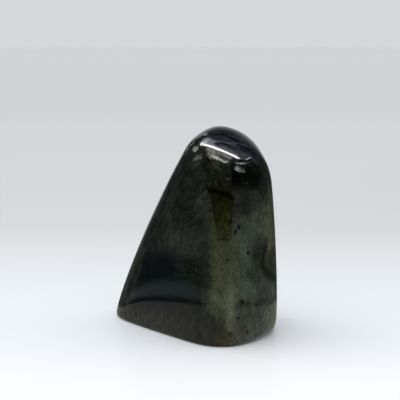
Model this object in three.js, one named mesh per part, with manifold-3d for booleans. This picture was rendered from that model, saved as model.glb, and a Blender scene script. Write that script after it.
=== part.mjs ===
// A polished free-form stone that stands on its sawn flat foot.
// Millimetres, +Z up. The rounded front ridge points to -Y and the long slope falls to -X.
// The origin ends up in the middle of the foot's box, at the level of the foot.

import * as THREE from 'three';
import { mergeVertices } from 'three/addons/utils/BufferGeometryUtils.js';
import Module from 'manifold-3d';

const wasm = await Module();
wasm.setup();

// The hand-ground faces, as a stone cutter meets them. Each is a large shallow dome.
// at: a point on the face. bearing: where it faces, in degrees from the front, positive to the right.
// lean: how far it tips up, in degrees. dome: radius of its bulge, or Infinity for a flat one.
const LEFT_FRONT = { at: [-16.7, -3.4, 30.1], bearing: -55.5, lean: 1.5, dome: 900 };
const RIGHT_FRONT = { at: [29.2, -23.8, 30], bearing: 43, lean: -1, dome: 500 };
const NOSE = { at: [11.1, -31.3, 61.9], bearing: -9.5, lean: 12, dome: 200 };
const RIGHT_SIDE = { at: [34.7, -4.1, 20], bearing: 95.5, lean: 1.5, dome: 700 };
const BACK = { at: [0.6, 38.3, 20.4], bearing: 169, lean: 4.5, dome: 260 };
const LONG_SLOPE = { at: [-20.5, 10.3, 46.4], bearing: -101.5, lean: 28.5, dome: 600 };
const TOP = { at: [15.6, -21, 81.3], bearing: 32.5, lean: 69.5, dome: 230 };
const SHOULDER = { at: [33.8, -10.9, 75.6], bearing: 71.5, lean: 58, dome: 240 };
const LEFT_HEEL = { at: [-40.2, 28.9, 2.4], bearing: -97, lean: -38, dome: Infinity };
const RIGHT_HEEL = { at: [35.8, -8.2, 3.8], bearing: 66, lean: -47, dome: Infinity };

// Radii of the edges between those faces.
const RIDGE_RADIUS = 5.4;
const NOSE_EDGE_RADIUS = 3;
const RIM_RADIUS = 2.4;
const SHOULDER_RADIUS = 5;
const BACK_EDGE_RADIUS = 6.1;
const SIDE_EDGE_RADIUS = 6.8;
const HEEL_RADIUS = 2.3;
const FOOT_RADIUS = 1.1;

// The sawn foot is cut this far above the lowest point of the rounded underside.
const FOOT_ALLOWANCE = 0.2;

// Shallow chips in the rough band under the rim of the top face.
// at: middle of the chip on the face. size: width and height. depth: how deep it bites.
// turn: how far its long side is turned, in degrees, clockwise when seen from outside.
const CHIPS = [
  { at: [18.3, -28.7, 71], bearing: 14, lean: 16, size: [5.2, 3.6], depth: 0.9, turn: 25 },
  { at: [19, -27.6, 73.4], bearing: 20, lean: 27, size: [8, 1.9], depth: 0.6, turn: 3 },
  { at: [9.6, -26.7, 75.3], bearing: -13, lean: 24, size: [8.4, 2.4], depth: 0.8, turn: 22 },
  { at: [0.4, -19.3, 78.1], bearing: -58, lean: 22, size: [3.2, 2.6], depth: 0.6, turn: -30 },
  { at: [1, -21.9, 74.9], bearing: -51, lean: 14, size: [6, 2.4], depth: 0.6, turn: -18 },
];

// How finely the skin is divided, and how its points are settled on the stone.
const SKIN_DETAIL = 17;
const CHIP_DETAIL = 3;
const INNER_POINT = [5, 2, 38];
const REACH = 80;
const HALVINGS = 40;
const SETTLING_ROUNDS = 60;
const EDGE_PULL = 45;
const GRADIENT_STEP = 0.02;
const WELD_DISTANCE = 1e-4;

const STONE_COLOUR = '#2c3029';
const STONE_ROUGHNESS = 0.12;

function outward(bearing, lean) {
  const b = THREE.MathUtils.degToRad(bearing);
  const l = THREE.MathUtils.degToRad(lean);
  return new THREE.Vector3(Math.sin(b) * Math.cos(l), -Math.cos(b) * Math.cos(l), Math.sin(l));
}

// Signed distance to one face: negative inside the stone.
function faceDistance({ at, bearing, lean, dome }) {
  const point = new THREE.Vector3(...at);
  const normal = outward(bearing, lean);
  if (dome === Infinity) return (p) => normal.dot(p) - normal.dot(point);
  const centre = point.clone().addScaledVector(normal, -dome);
  return (p) => p.distanceTo(centre) - dome;
}

// The smooth larger of two distances: faces that meet at a right angle get an edge of this radius.
function blend(a, b, radius) {
  const softness = radius * Math.SQRT1_2;
  return Math.max(a, b) + softness * Math.log1p(Math.exp(-Math.abs(a - b) / softness));
}

const leftFront = faceDistance(LEFT_FRONT);
const rightFront = faceDistance(RIGHT_FRONT);
const rightSide = faceDistance(RIGHT_SIDE);
const back = faceDistance(BACK);
const longSlope = faceDistance(LONG_SLOPE);
const nose = faceDistance(NOSE);
const top = faceDistance(TOP);
const shoulder = faceDistance(SHOULDER);
const leftHeel = faceDistance(LEFT_HEEL);
const rightHeel = faceDistance(RIGHT_HEEL);

function stoneDistance(p) {
  const ridge = blend(leftFront(p), rightFront(p), RIDGE_RADIUS);
  const front = blend(ridge, nose(p), NOSE_EDGE_RADIUS);
  const crown = blend(top(p), shoulder(p), SHOULDER_RADIUS);
  const capped = blend(front, crown, RIM_RADIUS);
  const slopes = blend(back(p), longSlope(p), BACK_EDGE_RADIUS);
  const rear = blend(slopes, rightSide(p), BACK_EDGE_RADIUS);
  const body = blend(capped, rear, SIDE_EDGE_RADIUS);
  const heels = blend(blend(body, leftHeel(p), HEEL_RADIUS), rightHeel(p), HEEL_RADIUS);
  return blend(heels, -p.z - FOOT_ALLOWANCE, FOOT_RADIUS);
}

function stoneNormal(p) {
  const normal = new THREE.Vector3();
  for (const axis of ['x', 'y', 'z']) {
    const ahead = p.clone();
    const behind = p.clone();
    ahead[axis] += GRADIENT_STEP;
    behind[axis] -= GRADIENT_STEP;
    normal[axis] = stoneDistance(ahead) - stoneDistance(behind);
  }
  return normal.normalize();
}

// Closed geometry with shared vertices, which the solids below are made from.
function welded(geometry) {
  geometry.deleteAttribute('normal');
  geometry.deleteAttribute('uv');
  return mergeVertices(geometry, WELD_DISTANCE);
}

// Walks out from the inner point until the skin of the stone is met.
function pointOnSkin(direction) {
  const inner = new THREE.Vector3(...INNER_POINT);
  let near = 0;
  let far = REACH;
  for (let i = 0; i < HALVINGS; i += 1) {
    const middle = (near + far) / 2;
    const inside = stoneDistance(inner.clone().addScaledVector(direction, middle)) < 0;
    if (inside) near = middle;
    else far = middle;
  }
  return inner.addScaledVector(direction, far);
}

function neighboursOf(index, count) {
  const neighbours = Array.from({ length: count }, () => new Set());
  for (let i = 0; i < index.length; i += 3) {
    const corners = [index[i], index[i + 1], index[i + 2]];
    for (const a of corners) {
      for (const b of corners) {
        if (a !== b) neighbours[a].add(b);
      }
    }
  }
  return neighbours.map((set) => [...set]);
}

// Slides the points along the skin: they crowd where the skin bends, so tight edges stay round.
function settle(points, neighbours) {
  let current = points;
  for (let round = 0; round < SETTLING_ROUNDS; round += 1) {
    const normals = current.map(stoneNormal);
    current = current.map((point, i) => {
      const mean = new THREE.Vector3();
      let weights = 0;
      for (const j of neighbours[i]) {
        const weight = 1 + EDGE_PULL * (1 - normals[i].dot(normals[j]));
        mean.addScaledVector(current[j], weight);
        weights += weight;
      }
      mean.divideScalar(weights).lerp(point, 0.5);
      const lift = stoneNormal(mean);
      mean.addScaledVector(lift, -stoneDistance(mean));
      return mean.addScaledVector(lift, -stoneDistance(mean));
    });
  }
  return current;
}

function stoneSkin() {
  const skin = welded(new THREE.IcosahedronGeometry(1, SKIN_DETAIL));
  const position = skin.attributes.position;
  const directions = Array.from({ length: position.count }, (_, i) =>
    new THREE.Vector3().fromBufferAttribute(position, i).normalize());
  const neighbours = neighboursOf(skin.index.array, position.count);
  const points = settle(directions.map(pointOnSkin), neighbours);
  points.forEach((p, i) => position.setXYZ(i, p.x, p.y, p.z));
  return skin;
}

// One chip: a flattened ball whose middle lies on the face, so half of it bites into the stone.
function chipTool({ at, bearing, lean, size, depth, turn }) {
  const tool = welded(new THREE.IcosahedronGeometry(1, CHIP_DETAIL));
  const normal = outward(bearing, lean);
  const along = outward(bearing + 90, 0);
  const up = new THREE.Vector3().crossVectors(normal, along);
  tool.scale(size[0] / 2, size[1] / 2, depth);
  tool.rotateZ(-THREE.MathUtils.degToRad(turn));
  tool.applyMatrix4(new THREE.Matrix4().makeBasis(along, up, normal));
  tool.translate(...at);
  return tool;
}

// The block that the saw takes away under the foot.
function sawCut() {
  const width = 2 * REACH;
  const block = welded(new THREE.BoxGeometry(width, width, width));
  block.translate(0, 0, -width / 2);
  return block;
}

function toSolid(geometry) {
  const vertProperties = new Float32Array(geometry.attributes.position.array);
  const triVerts = new Uint32Array(geometry.index.array);
  return new wasm.Manifold(new wasm.Mesh({ numProp: 3, vertProperties, triVerts }));
}

function toGeometry(solid) {
  const { vertProperties, triVerts } = solid.getMesh();
  const geometry = new THREE.BufferGeometry();
  geometry.setAttribute('position', new THREE.BufferAttribute(vertProperties, 3));
  geometry.setIndex(new THREE.BufferAttribute(triVerts, 1));
  return geometry;
}

function stoneGeometry() {
  let solid = toSolid(stoneSkin()).subtract(toSolid(sawCut()));
  for (const chip of CHIPS) solid = solid.subtract(toSolid(chipTool(chip)));
  const geometry = toGeometry(solid);
  geometry.computeBoundingBox();
  const middle = geometry.boundingBox.getCenter(new THREE.Vector3());
  geometry.translate(-middle.x, -middle.y, -geometry.boundingBox.min.z);
  geometry.computeVertexNormals();
  return geometry;
}

function polishedStone() {
  return new THREE.MeshStandardMaterial({
    color: STONE_COLOUR,
    roughness: STONE_ROUGHNESS,
    metalness: 0,
  });
}

const stone = new THREE.Mesh(stoneGeometry(), polishedStone());
stone.name = 'stone';

const part = new THREE.Group();
part.name = 'polished_stone';
part.add(stone);

export default part;
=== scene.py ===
# %% [markdown]
# # A polished feldspar stone
#
# This notebook dresses one free-form stone: dark green-grey, ground by hand into large shallow
# faces, polished to a gloss and stood on a sawn foot. The solid it stands in for comes from the
# packed frame. Everything here is in metres, but a stone cutter thinks in millimetres, so the
# numbers are written in millimetres and multiplied by `MM` where Blender needs them.

# %% Load the frame
import math

import bmesh
import bpy
import numpy as np
from mathutils import Matrix, Vector, noise


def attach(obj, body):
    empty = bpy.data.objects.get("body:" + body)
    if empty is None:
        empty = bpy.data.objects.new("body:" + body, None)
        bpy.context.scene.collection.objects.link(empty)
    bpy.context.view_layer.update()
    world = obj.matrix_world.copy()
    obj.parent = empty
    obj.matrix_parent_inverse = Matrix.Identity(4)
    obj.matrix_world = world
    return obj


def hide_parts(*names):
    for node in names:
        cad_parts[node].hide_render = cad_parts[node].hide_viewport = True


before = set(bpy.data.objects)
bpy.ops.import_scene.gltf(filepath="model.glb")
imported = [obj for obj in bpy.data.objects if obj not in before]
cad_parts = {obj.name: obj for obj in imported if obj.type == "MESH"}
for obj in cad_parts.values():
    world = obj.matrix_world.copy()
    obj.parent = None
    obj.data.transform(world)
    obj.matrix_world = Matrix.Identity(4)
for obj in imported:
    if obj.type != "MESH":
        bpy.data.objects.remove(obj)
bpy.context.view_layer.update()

MM = 0.001

# %% [markdown]
# ## Camera
#
# The stone is seen from the front with a long lens, a little from above. A long lens keeps the
# upright faces upright, so the lens and the pitch matter more here than the exact distance.

# %% Camera
CAMERA_PLACE = (2.4, -604.1, 130.05)
CAMERA_PITCH = 7.12  # degrees
LENS = 130.95  # mm, on a sensor 36 mm wide
SENSOR = 36.0

camera_data = bpy.data.cameras.new("camera")
camera_data.sensor_width = SENSOR
camera_data.lens = LENS
camera = bpy.data.objects.new("camera", camera_data)
camera.location = [v * MM for v in CAMERA_PLACE]
camera.rotation_euler = (math.radians(90 - CAMERA_PITCH), 0, 0)
bpy.context.scene.collection.objects.link(camera)
bpy.context.scene.camera = camera
print("camera at", CAMERA_PLACE, "mm, pitched", CAMERA_PITCH, "degrees down")

# %% [markdown]
# ## The faces of the stone
#
# On the wheel, a cutter grinds a stone face by face, and each face comes out as a very shallow
# dome. So the stone is described the same way: a short list of domes, and the radius of the edge
# where two of them meet. A distance function does this well. Each face answers how far a point is
# outside it, and a smooth maximum of all the answers is the distance to the whole stone. The
# numbers are the ones the solid was made from.

# %% Faces and edges
FACES = {
    "left_front": dict(at=(-16.7, -3.4, 30.1), bearing=-55.5, lean=1.5, dome=900),
    "right_front": dict(at=(29.2, -23.8, 30), bearing=43, lean=-1, dome=500),
    "nose": dict(at=(11.1, -31.3, 61.9), bearing=-9.5, lean=12, dome=200),
    "right_side": dict(at=(34.7, -4.1, 20), bearing=95.5, lean=1.5, dome=700),
    "back": dict(at=(0.6, 38.3, 20.4), bearing=169, lean=4.5, dome=260),
    "long_slope": dict(at=(-20.5, 10.3, 46.4), bearing=-101.5, lean=28.5, dome=600),
    "top": dict(at=(15.6, -21, 81.3), bearing=32.5, lean=69.5, dome=230),
    "shoulder": dict(at=(33.8, -10.9, 75.6), bearing=71.5, lean=58, dome=240),
    "left_heel": dict(at=(-40.2, 28.9, 2.4), bearing=-97, lean=-38, dome=None),
    "right_heel": dict(at=(35.8, -8.2, 3.8), bearing=66, lean=-47, dome=None),
}
RIDGE_RADIUS = 5.4
NOSE_EDGE_RADIUS = 3.0
RIM_RADIUS = 2.4
SHOULDER_RADIUS = 5.0
BACK_EDGE_RADIUS = 6.1
SIDE_EDGE_RADIUS = 6.8
HEEL_RADIUS = 2.3
FOOT_RADIUS = 1.1
FOOT_ALLOWANCE = 0.2  # the saw cuts this far above the lowest point


def outward(bearing, lean):
    """Unit vector of a face: bearing from the front, positive to the right, lean up, in degrees."""
    b, l = math.radians(bearing), math.radians(lean)
    return np.array([math.sin(b) * math.cos(l), -math.cos(b) * math.cos(l), math.sin(l)])


def face_distance(points, name):
    """Distance outside one face, and the direction in which it grows."""
    face = FACES[name]
    normal = outward(face["bearing"], face["lean"])
    if face["dome"] is None:
        away = points - np.array(face["at"])
        return away @ normal, np.broadcast_to(normal, points.shape)
    centre = np.array(face["at"]) - normal * face["dome"]
    away = points - centre
    length = np.linalg.norm(away, axis=1)
    return length - face["dome"], away / length[:, None]


def blend(a, b, radius):
    """Smooth larger of two distances. Faces at a right angle get an edge of this radius."""
    softness = radius * math.sqrt(0.5)
    share = 1 / (1 + np.exp(-(a[0] - b[0]) / softness))
    value = np.maximum(a[0], b[0]) + softness * np.log1p(np.exp(-np.abs(a[0] - b[0]) / softness))
    return value, share[:, None] * a[1] + (1 - share[:, None]) * b[1]


def stone_distance(points):
    """Signed distance to the stone, negative inside, with its gradient."""
    face = {name: face_distance(points, name) for name in FACES}
    ridge = blend(face["left_front"], face["right_front"], RIDGE_RADIUS)
    front = blend(ridge, face["nose"], NOSE_EDGE_RADIUS)
    crown = blend(face["top"], face["shoulder"], SHOULDER_RADIUS)
    capped = blend(front, crown, RIM_RADIUS)
    slopes = blend(face["back"], face["long_slope"], BACK_EDGE_RADIUS)
    rear = blend(slopes, face["right_side"], BACK_EDGE_RADIUS)
    body = blend(capped, rear, SIDE_EDGE_RADIUS)
    heels = blend(blend(body, face["left_heel"], HEEL_RADIUS), face["right_heel"], HEEL_RADIUS)
    down = np.broadcast_to(np.array([0.0, 0.0, -1.0]), points.shape)
    return blend(heels, (-points[:, 2] - FOOT_ALLOWANCE, down), FOOT_RADIUS)


print(len(FACES), "faces, tightest edge", min(RIM_RADIUS, HEEL_RADIUS, FOOT_RADIUS), "mm")

# %% [markdown]
# ## Chips under the rim
#
# Feldspar cleaves easily, and this stone has lost a few flakes just under the rim of its top face.
# Each chip is a shallow oval bite. Its floor is deepest near the upper edge and runs out towards
# the lower one, so the floor looks up and catches the overhead light, as a real flake scar does.
# Cutting chips out of the mesh would leave slivers, so they are measured here and pressed in later.

# %% Chips
# rough: how broken the floor is. low: share of the depth at the lower edge.
CHIPS = [
    dict(at=(18.3, -28.7, 71), bearing=14, lean=16, size=(5.2, 3.6), depth=0.9, turn=25,
         rough=0.2, low=0.04),
    dict(at=(19, -27.6, 73.4), bearing=20, lean=27, size=(8, 1.9), depth=0.6, turn=3,
         rough=0.3, low=0.3),
    dict(at=(9.6, -26.7, 75.3), bearing=-13, lean=24, size=(8.4, 2.4), depth=0.8, turn=22,
         rough=1.0, low=0.3),
    dict(at=(0.4, -19.3, 78.1), bearing=-58, lean=22, size=(3.2, 2.6), depth=0.6, turn=-30,
         rough=0.6, low=0.3),
    dict(at=(1, -21.9, 74.9), bearing=-51, lean=14, size=(6, 2.4), depth=0.6, turn=-18,
         rough=1.0, low=0.3),
]
CHIP_REACH = 4.5
# The middle line of the rib of unbroken skin between the first two chips.
SPLIT = [(14.8, -28.3, 73.2), (16.4, -28.4, 72.9), (18.2, -28.3, 72.3), (20.0, -27.5, 72.6),
         (22.0, -26.1, 73.1), (23.7, -25.0, 72.7)]
SPLIT_HALF_WIDTH = 0.6


def near_chips(points):
    """1 at the middle of a chip, falling to 0 a few millimetres away."""
    near = np.zeros(len(points))
    for chip in CHIPS:
        away = np.linalg.norm(points - np.array(chip["at"]), axis=1)
        near = np.maximum(near, np.exp(-(away / CHIP_REACH) ** 2))
    return near


def across_chip(points, chip):
    """Where points lie on a chip's oval, from -1 to 1 along it and up it, and how far above it."""
    normal = outward(chip["bearing"], chip["lean"])
    along = outward(chip["bearing"] + 90, 0)
    up = np.cross(normal, along)
    turn = math.radians(chip["turn"])
    away = points - np.array(chip["at"])
    a = away @ (along * math.cos(turn) - up * math.sin(turn))
    b = away @ (along * math.sin(turn) + up * math.cos(turn))
    return 2 * a / chip["size"][0], 2 * b / chip["size"][1], away @ normal


def near_split(points):
    """1 along the rib of skin that is left between the two lowest chips, falling to 0 beside it."""
    nearest = np.full(len(points), np.inf)
    for start, end in zip(np.array(SPLIT), np.array(SPLIT[1:])):
        whole = end - start
        gone = np.clip((points - start) @ whole / (whole @ whole), 0, 1)
        away = points - start - gone[:, None] * whole
        nearest = np.minimum(nearest, np.linalg.norm(away, axis=1))
    return np.clip(2 - 2 * nearest / SPLIT_HALF_WIDTH, 0, 1)


print(len(CHIPS), "chips, two of them parted by a rib")

# %% [markdown]
# ## A skin for the stone
#
# A polish shows every uneven quad. A UV sphere crowds its quads at two poles and an ico sphere
# has only triangles, so the start is a cube that is divided evenly in angle and pushed out to a
# ball.

# %% Ball of quads
QUADS_ACROSS = 118
INNER_POINT = np.array([5.0, 2.0, 38.0])


def ball_of_quads(across):
    """A cube whose sides are divided evenly in angle, pushed out to a ball."""
    bm = bmesh.new()
    bmesh.ops.create_cube(bm, size=2)
    bmesh.ops.subdivide_edges(bm, edges=bm.edges, cuts=across - 1, use_grid_fill=True)
    mesh = bpy.data.meshes.new("stone_skin")
    bm.to_mesh(mesh)
    bm.free()
    corners = np.empty(len(mesh.vertices) * 3)
    mesh.vertices.foreach_get("co", corners)
    even = np.tan(corners.reshape(-1, 3) * (math.pi / 4))
    return mesh, even / np.linalg.norm(even, axis=1)[:, None]


skin_mesh, directions = ball_of_quads(QUADS_ACROSS)
print(len(skin_mesh.polygons), "quads")

# %% [markdown]
# ### From ball to stone
#
# Seen from a point inside the stone, its skin is met once in every direction. So each point of the
# ball is sent out in its own direction, and halving the stretch between inside and outside finds
# the skin. That needs no formula for the blended faces, only the question "inside or outside?".

# %% Blow the ball up to the stone
REACH = 80.0
HALVINGS = 24


def points_on_skin(directions):
    """Where a line from the inner point meets the stone's skin, for each direction."""
    near = np.zeros(len(directions))
    far = np.full(len(directions), REACH)
    for _ in range(HALVINGS):
        middle = (near + far) / 2
        inside = stone_distance(INNER_POINT + directions * middle[:, None])[0] < 0
        near = np.where(inside, middle, near)
        far = np.where(inside, far, middle)
    return INNER_POINT + directions * far[:, None]


skin_points = points_on_skin(directions)
print("skin from", skin_points.min(axis=0).round(1), "to", skin_points.max(axis=0).round(1))

# %% [markdown]
# ### Let the points settle
#
# The tight rim still gets too few quads. So each point moves towards its neighbours, drawn most
# by those across a bend or near a chip, and is put back on the skin. A smoothing modifier would
# round the rim away instead.

# %% Let the points settle
SETTLING_ROUNDS = 60
EDGE_PULL = 60.0
CHIP_PULL = 6.0

edge_ends = np.empty(len(skin_mesh.edges) * 2, dtype=int)
skin_mesh.edges.foreach_get("vertices", edge_ends)
edge_ends = edge_ends.reshape(-1, 2)


def settle(points):
    """Slides the points along the skin, towards its bends, and keeps them on it."""
    a, b = edge_ends.T
    for _ in range(SETTLING_ROUNDS):
        normal = stone_distance(points)[1]
        normal = normal / np.linalg.norm(normal, axis=1)[:, None]
        near = near_chips(points)
        bend = 1 - (normal[a] * normal[b]).sum(axis=1)
        pull = 1 + EDGE_PULL * bend + CHIP_PULL * near[a] * near[b]
        total = np.bincount(a, pull, len(points)) + np.bincount(b, pull, len(points))
        mean = np.empty_like(points)
        for axis in range(3):
            mean[:, axis] = np.bincount(a, pull * points[b, axis], len(points))
            mean[:, axis] += np.bincount(b, pull * points[a, axis], len(points))
        points = 0.5 * points + 0.5 * mean / total[:, None]
        value, normal = stone_distance(points)
        points = points - normal * (value / (normal ** 2).sum(axis=1))[:, None]
    return points


skin_points = settle(skin_points)
print("left off the skin, mm:", float(np.abs(stone_distance(skin_points)[0]).max().round(4)))

# %% [markdown]
# ## Relief
#
# Hand polishing leaves a face very slightly wavy, which is why mirrored lines in it never run quite
# straight. The waves here are about a hundredth of a millimetre high. The chips bite deeper, and
# their floors are rough. Both could be bump in the material, but then the outline of a chip would
# stay smooth where light catches it, so they are real shape. The points are also marked where the
# skin is broken, for the material to read.

# %% Relief
WAVE_LENGTH = 11.0
WAVE_HEIGHT = 0.014
ROUGH_LENGTH = 0.9
ROUGH_HEIGHT = 0.16
RAGGED_LENGTH = 1.6
RAGGED_SHARE = 0.35
HIGH_EDGE = 1.2  # share of a chip's depth at its upper edge
EDGE_RUN = 0.25  # share of a chip's radius in which its edge drops
OTHER_FACE = 3.0  # mm above or below a chip's oval, where another face begins
NEAR_ENOUGH = 0.02  # points less near to every chip than this are left alone


def cloud(points, length):
    """Soft noise from about -1 to 1 whose blotches are this many millimetres long."""
    return np.array([noise.noise(Vector(p) / length) for p in points])


def chip_relief(points):
    """How deep the chips bite at each point, and how broken the surface is, from 0 to 1."""
    depth = np.zeros(len(points))
    broken = np.zeros(len(points))
    close = np.where(near_chips(points) > NEAR_ENOUGH)[0]
    ragged = cloud(points[close], RAGGED_LENGTH) * RAGGED_SHARE
    rough = cloud(points[close], ROUGH_LENGTH) * ROUGH_HEIGHT
    rib = near_split(points[close])
    for chip in CHIPS:
        a, b, height = across_chip(points[close], chip)
        spread = np.sqrt(a ** 2 + b ** 2) + ragged
        inside = np.clip((1 - spread) / EDGE_RUN, 0, 1) * (np.abs(height) < OTHER_FACE) * (1 - rib)
        climb = (np.clip(b, -1, 1) + 1) / 2
        share = chip["low"] + (HIGH_EDGE - chip["low"]) * climb
        floor = chip["depth"] * share + rough * chip["rough"]
        depth[close] = np.maximum(depth[close], inside * floor)
        broken[close] = np.maximum(broken[close], inside)
    return depth, broken


skin_normal = stone_distance(skin_points)[1]
skin_normal = skin_normal / np.linalg.norm(skin_normal, axis=1)[:, None]
bite, broken = chip_relief(skin_points)
wave = cloud(skin_points, WAVE_LENGTH) * WAVE_HEIGHT
skin_points = skin_points + skin_normal * (wave - bite)[:, None]
chipped = skin_mesh.attributes.new("chipped", "FLOAT", "POINT")
chipped.data.foreach_set("value", broken)
print("chips:", round(float(bite.max()), 2), "mm deep,", int((broken > 0.5).sum()), "points broken")

# %% [markdown]
# ## Put the skin in the frame
#
# The solid stands with the middle of its box over the origin, so the skin is cut flat at the foot,
# as the saw did, and moved there too. Then it is handed to the frame: it stands in for the solid's
# only node and rides on the only body.

# %% Put the skin in the frame
skin_points[:, 2] = np.maximum(skin_points[:, 2], 0)
skin_middle = (skin_points.min(axis=0) + skin_points.max(axis=0)) / 2
shift = np.array([skin_middle[0], skin_middle[1], 0.0])
skin_mesh.vertices.foreach_set("co", ((skin_points - shift) * MM).ravel())
skin_mesh.polygons.foreach_set("use_smooth", [True] * len(skin_mesh.polygons))
skin_mesh.update()
stone = bpy.data.objects.new("polished_stone", skin_mesh)
bpy.context.scene.collection.objects.link(stone)
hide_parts("stone")
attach(stone, "root")
SPLIT_IN_FRAME = [tuple(float(v) for v in np.array(point) - shift) for point in SPLIT]
print("shifted by", shift.round(2), "mm")

# %% [markdown]
# ## Helpers for finishes
#
# Every finish below is a tree of small nodes. They could be placed in the shader editor, but a
# script can be read and run again. Adding nodes by hand takes many lines, so a small class keeps
# them short: `add` makes a node and feeds its sockets, and the other words are the few sums, ramps
# and mixes that the stone needs.

# %% Wiring helper
def srgb(red, green, blue):
    """A colour given on a 0 to 255 scale, as the linear colour that shaders use."""
    def linear(value):
        value = value / 255
        return value / 12.92 if value <= 0.04045 else ((value + 0.055) / 1.055) ** 2.4
    return (linear(red), linear(green), linear(blue), 1.0)


class Wiring:
    """Short words for adding nodes to one tree."""

    def __init__(self, tree):
        self.tree = tree

    def feed(self, socket, value):
        """Links a socket to another one, or sets it to a plain value."""
        if isinstance(value, bpy.types.NodeSocket):
            self.tree.links.new(value, socket)
        else:
            socket.default_value = value

    def add(self, kind, inputs=None, **settings):
        """A new node with these inputs fed and these settings."""
        node = self.tree.nodes.new(kind)
        for name, value in settings.items():
            setattr(node, name, value)
        for socket, value in (inputs or {}).items():
            self.feed(node.inputs[socket], value)
        return node

    def sum(self, operation, a, b=0.0, c=0.0):
        """One sum on plain numbers."""
        return self.add("ShaderNodeMath", {0: a, 1: b, 2: c}, operation=operation).outputs[0]

    def vector(self, operation, a, b=(0.0, 0.0, 0.0), output=0):
        """One sum on vectors. Output 1 is a number, such as a length."""
        return self.add("ShaderNodeVectorMath", {0: a, 1: b}, operation=operation).outputs[output]

    def step(self, value, low, high, to_low=0.0, to_high=1.0):
        """Smooth step from one level to another while the value goes from low to high."""
        inputs = {"Value": value, "From Min": low, "From Max": high,
                  "To Min": to_low, "To Max": to_high}
        node = self.add("ShaderNodeMapRange", inputs, interpolation_type="SMOOTHSTEP")
        return node.outputs["Result"]

    def mix(self, share, a, b):
        """Colour a turning into colour b."""
        return self.add("ShaderNodeMix", {0: share, 6: a, 7: b}, data_type="RGBA").outputs[2]

    def overlap(self, *masks):
        """Where all of these masks are."""
        result = masks[0]
        for mask in masks[1:]:
            result = self.sum("MULTIPLY", result, mask)
        return result

    def noise(self, position, size, detail=3.0, roughness=0.55, distortion=0.0):
        """Cloudy noise from 0 to 1 whose blotches are about this size, in the position's unit."""
        inputs = {"Vector": position, "Scale": 1 / size, "Detail": detail, "Roughness": roughness,
                  "Distortion": distortion}
        return self.add("ShaderNodeTexNoise", inputs).outputs["Fac"]

    def ramp(self, value, stops):
        """Colour ramp through the given (place, colour) stops."""
        node = self.add("ShaderNodeValToRGB", {0: value})
        elements = node.color_ramp.elements
        elements[0].position, elements[0].color = stops[0]
        elements[1].position, elements[1].color = stops[-1]
        for place, colour in stops[1:-1]:
            elements.new(place).color = colour
        return node.outputs[0]

    def split(self, position):
        """The three coordinates of a position."""
        return self.add("ShaderNodeSeparateXYZ", {0: position}).outputs[:3]

    def stretch(self, position, scale):
        """The position scaled differently along each axis."""
        return self.vector("MULTIPLY", position, scale)

    def scaled(self, vector, factor):
        """The vector or colour made larger by one factor."""
        inputs = {0: vector, "Scale": factor}
        return self.add("ShaderNodeVectorMath", inputs, operation="SCALE").outputs[0]

    def between(self, share, a, b):
        """Number a turning into number b."""
        return self.add("ShaderNodeMix", {0: share, 2: a, 3: b}).outputs[0]

    def use(self, group, **inputs):
        """Places a node group and returns its only output."""
        return self.add("ShaderNodeGroup", inputs, node_tree=group).outputs[0]


print("wiring knows", len([word for word in vars(Wiring) if word[0] != "_"]), "words")

# %% [markdown]
# ## Studio light
#
# A polished stone is mostly what it mirrors, so the studio is set up twice. A big soft light
# overhead and a weak one from the front light the floor and the stone's own colour. The
# mirrored room is a picture of directions on the world: bright backdrop behind the stone, a dim
# room at the sides and in front. The camera itself only sees a plain pale floor and backdrop.

# %% World
def grey(level):
    """Cool studio grey of this brightness."""
    return (level * 0.97, level * 0.99, level * 1.04, 1.0)


BACKDROP = srgb(214, 215, 219)
BACKDROP_EDGE = (0.92, 0.98)
MIRRORED_EDGE = (0.95, 0.992)
ROOM = (0.020, 0.022, 0.025, 1)
# Both ramps run from straight down (0) through level (0.5) to straight up (1).
MIRRORED_ROOM = [(0.0, ROOM), (0.6, ROOM), (0.66, grey(0.008)), (0.78, grey(0.012)),
                 (0.86, grey(0.16)), (0.93, grey(0.5)), (0.97, grey(1.2))]
EVEN_LIGHT = (0.93, 0.94, 0.96, 1)
MIRRORED_BACKDROP = [(0.0, grey(0.62)), (0.52, grey(0.55)), (0.56, grey(0.42)), (0.60, grey(0.33)),
                     (0.65, grey(0.08)), (0.70, grey(0.02)), (0.90, grey(0.03)), (0.97, grey(0.4))]

world = bpy.data.worlds.new("studio")
world.use_nodes = True
bpy.context.scene.world = world
world.node_tree.nodes.clear()
w = Wiring(world.node_tree)
direction = w.add("ShaderNodeTexCoord").outputs["Generated"]
across, away, up = w.split(direction)
flat = w.sum("SQRT", w.sum("ADD", w.sum("MULTIPLY", across, across), w.sum("MULTIPLY", away, away)))
behind = w.step(w.sum("DIVIDE", away, flat), *MIRRORED_EDGE)
height = w.sum("MULTIPLY_ADD", up, 0.5, 0.5)
mirrored = w.mix(behind, w.ramp(height, MIRRORED_ROOM), w.ramp(height, MIRRORED_BACKDROP))
path = w.add("ShaderNodeLightPath").outputs
sky = w.mix(path["Is Diffuse Ray"], mirrored, EVEN_LIGHT)
sky = w.mix(path["Is Camera Ray"], sky, BACKDROP)
background = w.add("ShaderNodeBackground", {"Color": sky, "Strength": 1.0})
w.add("ShaderNodeOutputWorld", {"Surface": background.outputs[0]})
print("world has", len(world.node_tree.nodes), "nodes")

# %% [markdown]
# ### Lights
#
# The bright line along the rim is the mirror image of a long soft light overhead, so that light's
# place and turn were found from where the line runs. It is seen only in the polish. Two other
# lights give the floor and the stone's own colour their even light, and aren't mirrored, so the
# shine can be moved without changing a shadow.

# %% Lights
STONE_MIDDLE = Vector((0, 0, 0.04))


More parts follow.
